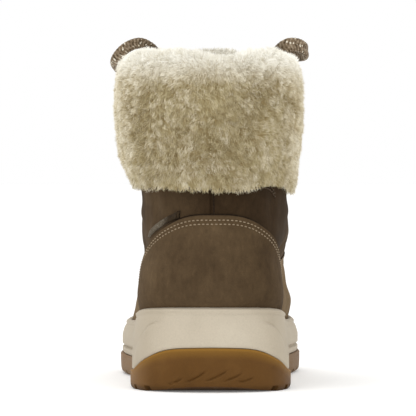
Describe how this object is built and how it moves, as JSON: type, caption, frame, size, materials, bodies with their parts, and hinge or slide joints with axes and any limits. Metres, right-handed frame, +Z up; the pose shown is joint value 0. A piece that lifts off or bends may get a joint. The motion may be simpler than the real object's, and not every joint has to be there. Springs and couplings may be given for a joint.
{
  "type": "lace-up boot",
  "caption": "Left winter ankle boot with a hollow laced upper, an overlaid heel counter, a deep folded fleece cuff, a tongue, a bow at the collar and a foam and gum rubber sole",
  "frame": {"origin": "middle of the heel's flat contact patch on the ground, on the centre line of the heel", "axes": "+Y from heel to toe, +Z up, -X towards the outer side of the left foot"},
  "size_m": [0.1227, 0.2916, 0.208],
  "materials": {
    "gum_rubber": "matte gum rubber",
    "cream_foam": "moulded foam",
    "taupe_nubuck": "brushed nubuck",
    "dark_webbing": "woven webbing",
    "lining": "short pile lining",
    "cream_fleece": "curly fleece",
    "eyelet_metal": "darkened metal",
    "lace": "flat woven lace"
  },
  "bodies": {
    "root": {"outsole": "gum_rubber", "midsole": "cream_foam", "upper": "taupe_nubuck", "heel_counter": "taupe_nubuck", "side_tab": "dark_webbing", "insole": "lining", "tongue": "lining", "fleece_cuff": "cream_fleece", "eyelet_1": "eyelet_metal", "eyelet_2": "eyelet_metal", "eyelet_3": "eyelet_metal", "eyelet_4": "eyelet_metal", "eyelet_5": "eyelet_metal", "eyelet_6": "eyelet_metal", "eyelet_7": "eyelet_metal", "eyelet_8": "eyelet_metal", "eyelet_9": "eyelet_metal", "eyelet_10": "eyelet_metal", "eyelet_11": "eyelet_metal", "eyelet_12": "eyelet_metal", "lace_crossings": "lace", "lace_knot": "lace", "lace_loop_lateral": "lace", "lace_loop_medial": "lace", "lace_end_lateral": "lace", "lace_end_medial": "lace"}
  },
  "joints": []
}
